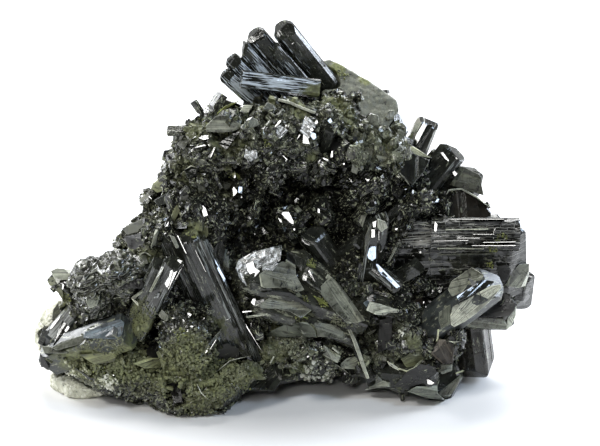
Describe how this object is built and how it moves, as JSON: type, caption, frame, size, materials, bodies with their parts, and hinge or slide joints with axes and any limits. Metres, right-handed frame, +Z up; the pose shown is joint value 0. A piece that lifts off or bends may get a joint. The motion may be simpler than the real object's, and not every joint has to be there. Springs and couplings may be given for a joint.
{
  "type": "epidote crystal cluster",
  "caption": "Triangular cluster of dark green striated prisms standing out of a lumpy crystal mass, with pale rock behind and below.",
  "frame": {"origin": "on the resting surface, under the middle of the specimen's box", "axes": "+Z up, +X to the right as seen in the picture, +Y away from the viewer"},
  "size_m": [0.0654, 0.0356, 0.0472],
  "materials": {
    "crystal_mass": "glassy granular, olive dusting",
    "pale_matrix": "matt granular rock",
    "top_fan_crystals": "glassy, striated",
    "olive_slab_crystal": "dull",
    "glint_prism": "glassy, striated",
    "upper_right_crystals": "glassy, chipped",
    "right_prism_bundle": "glassy, striated",
    "lower_right_prism": "glassy",
    "front_mirror_crystal": "mirror-like",
    "brown_prism": "satin, striated",
    "right_foot_crystals": "glassy",
    "centre_blade": "glassy",
    "centre_prism": "glassy, pitted end",
    "under_centre_prism": "glassy",
    "long_front_prism": "glassy, striated",
    "leaning_prism": "glassy",
    "left_slab_crystals": "satin, striated"
  },
  "bodies": {
    "root": {"crystal_mass": "crystal_mass", "pale_matrix": "pale_matrix", "top_fan_crystals": "top_fan_crystals", "olive_slab_crystal": "olive_slab_crystal", "glint_prism": "glint_prism", "upper_right_crystals": "upper_right_crystals", "right_prism_bundle": "right_prism_bundle", "lower_right_prism": "lower_right_prism", "front_mirror_crystal": "front_mirror_crystal", "brown_prism": "brown_prism", "right_foot_crystals": "right_foot_crystals", "centre_blade": "centre_blade", "centre_prism": "centre_prism", "under_centre_prism": "under_centre_prism", "long_front_prism": "long_front_prism", "leaning_prism": "leaning_prism", "left_slab_crystals": "left_slab_crystals"}
  },
  "joints": []
}
